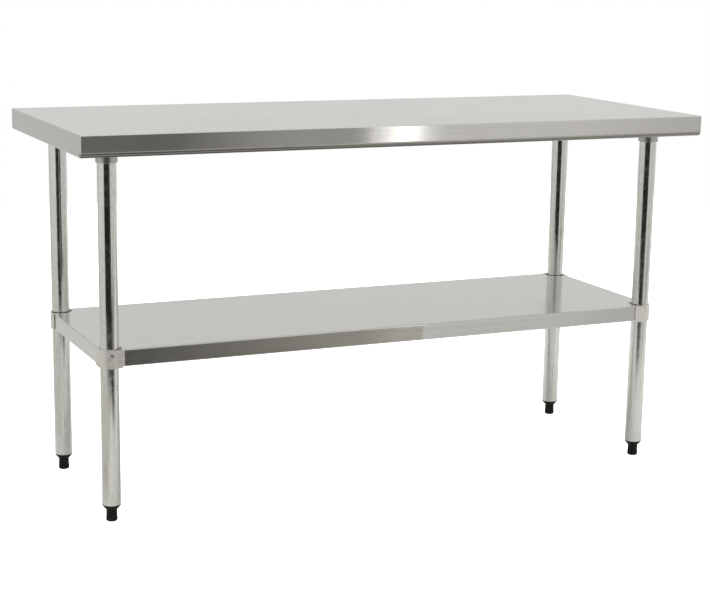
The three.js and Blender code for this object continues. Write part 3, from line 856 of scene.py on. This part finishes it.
# The heights that follow are the upward part of the direction in which a ray looks.
STRIP_FOOT = (-0.26, -0.23)
SKY = 0.75
SKY_RISES = (0.02, 0.16)
SKY_SHADE = 0.35  # how much darker the sky is between these degrees
SHADE_STARTS = (-47, -32)
SHADE_ENDS = (-16, -1)
CEILING = 0.95
CEILING_RISES = (0.35, 0.8)
ROOM_WHITE = (1, 1, 0.985, 1)


def camera():
    """It looks at its target from the table's front left and a little above."""
    azimuth, elevation = CAMERA["azimuth"], CAMERA["elevation"]
    back = Vector((math.sin(azimuth) * math.cos(elevation), -math.cos(azimuth) * math.cos(elevation),
                   math.sin(elevation)))
    right = Vector((math.cos(azimuth), math.sin(azimuth), 0))
    turn = Matrix((right, back.cross(right), back)).transposed()
    roll = Matrix.Rotation(CAMERA["roll"], 3, "Z")
    data = bpy.data.cameras.new("camera")
    data.sensor_width = CAMERA["sensor"]
    data.lens = CAMERA["lens"]
    data.clip_end = CAMERA["clip_end"]
    obj = bpy.data.objects.new("camera", data)
    obj.matrix_world = (turn @ roll).to_4x4()
    obj.location = Vector(CAMERA["target"]) + back * CAMERA["distance"]
    bpy.context.scene.collection.objects.link(obj)
    bpy.context.scene.camera = obj


def stage_mesh(name, corners, material):
    bm = bmesh.new()
    bm.faces.new([bm.verts.new(corner) for corner in corners])
    mesh = mesh_from(bm, name)
    mesh.materials.append(material)
    obj = bpy.data.objects.new(name, mesh)
    bpy.context.scene.collection.objects.link(obj)
    return obj


def floor():
    """White paper, lit by the room. The camera sees it as white as the backdrop, and in reflections it has
    painted shade on the left and ends at the dark floor of the room, which is paler to the right."""
    ground = Material("floor_paper", Emission_Color=(1, 1, 1, 1), Specular_IOR_Level=0.0)
    x, y, _ = ground.axes()
    fibre = ground.noise("Object", (40, 40, 40), detail=3.0, rough=0.6)
    paper = ground.blend(fibre, PAPER_DARK, PAPER_LIGHT)
    # painted shade: the paper is painted darker towards the left
    paper = ground.blend(ground.spread(x, PAPER["shaded"]), PAPER_PAINTED_SHADE, paper)
    bare = ground.blend(ground.spread(x, BARE_FLOOR["paler"]), BARE_DARK, BARE_PALE)
    bare = ground.blend(ground.spread(y, BARE_FLOOR["far"]), BARE_FAR, bare)
    notch = ground.math("MULTIPLY", ground.spread(x, PAPER["notch_left"], to=(0, PAPER["notch"])),
                        ground.spread(x, PAPER["notch_right"], to=(1, 0)))
    on_paper = ground.spread(ground.math("SUBTRACT", y, notch), PAPER["front_edge"])
    seen = ground.add("ShaderNodeLightPath").outputs["Is Camera Ray"]
    ground.link(seen, ground.shader.inputs["Emission Strength"])
    material = ground.finish(ground.blend(on_paper, bare, paper), 0.9)
    (left, right), (near, far) = PAPER["x"], PAPER["y"]
    corners = [(left, near), (right, near), (right, far), (left, far)]
    stage_mesh("floor", [(*corner, FLOOR) for corner in corners], material)


def side_backdrop(name, start, end, height, glow):
    """A lit white backdrop out of the camera's sight."""
    board = Material(name, Emission_Color=(1, 0.995, 0.98, 1))
    x, _, z = board.axes()
    by_height = board.spread(z, BACKDROP_FOOT, to=(FOOT_SHARE * glow, glow))
    across = board.spread(x, BACKDROP_FAR, to=(1, FAR_SHARE))
    board.link(board.math("MULTIPLY", by_height, across), board.shader.inputs["Emission Strength"])
    material = board.finish((0, 0, 0, 1), 1.0)
    obj = stage_mesh(name, [(*start, FLOOR), (*end, FLOOR), (*end, height), (*start, height)], material)
    obj.visible_camera = False


def soft_light(name, place, size, watts):
    """A wide light that shines straight down."""
    data = bpy.data.lights.new(name, "AREA")
    data.shape = "RECTANGLE"
    data.size, data.size_y = size
    data.energy = watts
    obj = bpy.data.objects.new(name, data)
    obj.location = place
    obj.visible_glossy = False
    bpy.context.scene.collection.objects.link(obj)


def studio():
    """A white room with a dark side in front of the table and one tall strip light there.
    The camera itself sees plain white."""
    world = bpy.data.worlds.new("studio")
    bpy.context.scene.world = world
    world.use_nodes = True
    room = Nodes(world.node_tree)
    x, y, z = room.axes("Generated")
    degrees = room.math("DEGREES", room.math("ARCTAN2", x, room.math("MULTIPLY", y, -1)))
    walls = [((place + 180) / 360, grey) for place, grey in WALLS]
    level = room.ramp(room.spread(degrees, (-180, 180)), walls)
    for start, end, brightness in STRIP_LIGHT:
        across = room.math("MULTIPLY", room.spread(degrees, start, to=(0, brightness)),
                           room.spread(degrees, end, to=(1, 0)))
        level = room.math("ADD", level, room.math("MULTIPLY", across, room.spread(z, STRIP_FOOT)))
    shade = room.math("MULTIPLY", room.spread(degrees, SHADE_STARTS, to=(0, SKY_SHADE)),
                      room.spread(degrees, SHADE_ENDS, to=(1, 0)))
    sky = room.math("MULTIPLY", room.spread(z, SKY_RISES), room.math("SUBTRACT", SKY, shade))
    level = room.math("MAXIMUM", level, sky)
    level = room.add("ShaderNodeMix", Factor=room.spread(z, CEILING_RISES), A=level, B=CEILING)
    lit = room.add("ShaderNodeBackground", Color=ROOM_WHITE, Strength=level.outputs["Result"])
    plain = room.add("ShaderNodeBackground", Color=(1, 1, 1, 1))
    seen = room.add("ShaderNodeMixShader", Fac=room.add("ShaderNodeLightPath").outputs["Is Camera Ray"])
    room.link(lit.outputs["Background"], seen.inputs[1])
    room.link(plain.outputs["Background"], seen.inputs[2])
    room.add("ShaderNodeOutputWorld", Surface=seen.outputs["Shader"])


# ------------------------------------------------------------------ the scene
camera()
floor()
studio()
side_backdrop("left_backdrop", start=(-1.86, -1.13), end=(-2.3, 1.4), height=2.0, glow=0.82)
side_backdrop("right_backdrop", start=(0.69, -1.46), end=(1.45, -1.183), height=2.0, glow=0.79)
soft_light("overhead", place=(0.2, 0.4, 3.2), size=(3.0, 2.4), watts=40)
bpy.context.scene.view_settings.view_transform = "Standard"

top()
undershelf()
channels()
studs_and_nuts()
legs()
sockets()
brackets()
feet()
